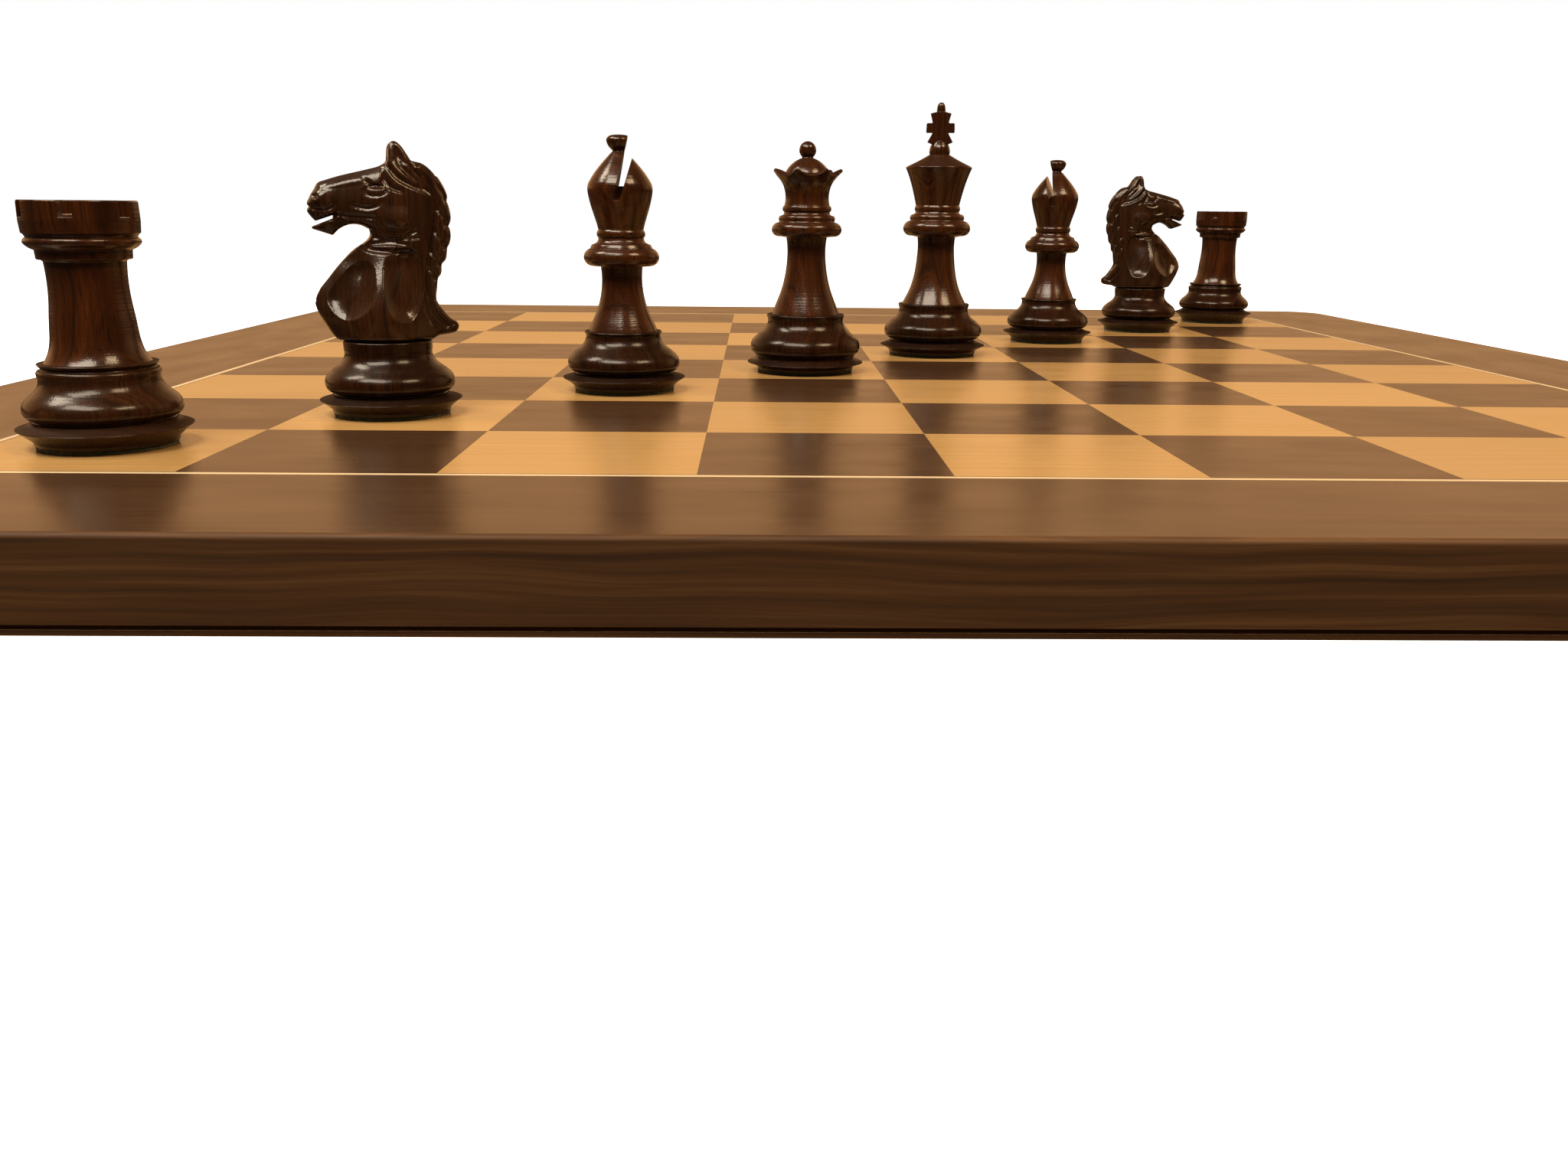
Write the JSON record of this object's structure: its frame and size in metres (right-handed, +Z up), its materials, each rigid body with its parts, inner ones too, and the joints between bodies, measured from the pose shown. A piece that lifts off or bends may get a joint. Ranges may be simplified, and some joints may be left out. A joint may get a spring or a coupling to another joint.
{
  "type": "chess set with board",
  "caption": "Inlaid wooden chessboard with weighted, felted Staunton-style pieces standing along its long light diagonal; each piece lifts off.",
  "frame": {"origin": "middle of the board's underside, on the surface it stands on", "axes": "+X right along the front edge, +Y away from the front edge, +Z up"},
  "size_m": [0.55, 0.55, 0.1117],
  "materials": {
    "green_felt": "matt wool felt",
    "iron_weight": "raw casting",
    "dowel_beech": "plain turned dowel",
    "fibreboard_core": "raw fibreboard",
    "maple_veneer": "satin lacquer over honey-toned maple",
    "walnut_veneer": "satin lacquer over walnut",
    "walnut_edge": "satin lacquer over dark walnut",
    "black_line": "dyed veneer line under satin lacquer",
    "rosewood_dark": "high-gloss lacquer over dark rosewood",
    "rosewood": "high-gloss lacquer over rosewood"
  },
  "bodies": {
    "board": {"balancing_veneer": "walnut_veneer", "board_core": "fibreboard_core", "border_back": "walnut_veneer", "border_front": "walnut_veneer", "border_left": "walnut_veneer", "border_right": "walnut_veneer", "bottom_panel": "walnut_edge", "dark_squares": "walnut_veneer", "edge_band": "walnut_edge", "inner_line": "black_line", "light_squares": "maple_veneer", "outer_line": "black_line", "pale_stringing": "maple_veneer"},
    "rook_left": {"rook_left_base": "rosewood_dark", "rook_left_felt": "green_felt", "rook_left_tower": "rosewood", "rook_left_weight": "iron_weight"},
    "knight_left": {"knight_left_base": "rosewood_dark", "knight_left_dowel": "dowel_beech", "knight_left_felt": "green_felt", "knight_left_head": "rosewood", "knight_left_weight": "iron_weight"},
    "bishop_left": {"bishop_left_base": "rosewood_dark", "bishop_left_felt": "green_felt", "bishop_left_mitre": "rosewood", "bishop_left_weight": "iron_weight"},
    "queen": {"queen_base": "rosewood_dark", "queen_coronet": "rosewood", "queen_felt": "green_felt", "queen_weight": "iron_weight"},
    "king": {"king_base": "rosewood_dark", "king_cross": "rosewood", "king_crown": "rosewood", "king_felt": "green_felt", "king_weight": "iron_weight"},
    "bishop_right": {"bishop_right_base": "rosewood_dark", "bishop_right_felt": "green_felt", "bishop_right_mitre": "rosewood", "bishop_right_weight": "iron_weight"},
    "knight_right": {"knight_right_base": "rosewood_dark", "knight_right_dowel": "dowel_beech", "knight_right_felt": "green_felt", "knight_right_head": "rosewood", "knight_right_weight": "iron_weight"},
    "rook_right": {"rook_right_base": "rosewood_dark", "rook_right_felt": "green_felt", "rook_right_tower": "rosewood", "rook_right_weight": "iron_weight"}
  },
  "joints": [
    {"name": "rook_left_lift", "type": "slide", "parent": "board", "child": "rook_left", "axis": [0, 0, 1], "range_m": [0, 0.12]},
    {"name": "knight_left_lift", "type": "slide", "parent": "board", "child": "knight_left", "axis": [0, 0, 1], "range_m": [0, 0.12]},
    {"name": "bishop_left_lift", "type": "slide", "parent": "board", "child": "bishop_left", "axis": [0, 0, 1], "range_m": [0, 0.12]},
    {"name": "queen_lift", "type": "slide", "parent": "board", "child": "queen", "axis": [0, 0, 1], "range_m": [0, 0.12]},
    {"name": "king_lift", "type": "slide", "parent": "board", "child": "king", "axis": [0, 0, 1], "range_m": [0, 0.12]},
    {"name": "bishop_right_lift", "type": "slide", "parent": "board", "child": "bishop_right", "axis": [0, 0, 1], "range_m": [0, 0.12]},
    {"name": "knight_right_lift", "type": "slide", "parent": "board", "child": "knight_right", "axis": [0, 0, 1], "range_m": [0, 0.12]},
    {"name": "rook_right_lift", "type": "slide", "parent": "board", "child": "rook_right", "axis": [0, 0, 1], "range_m": [0, 0.12]}
  ]
}
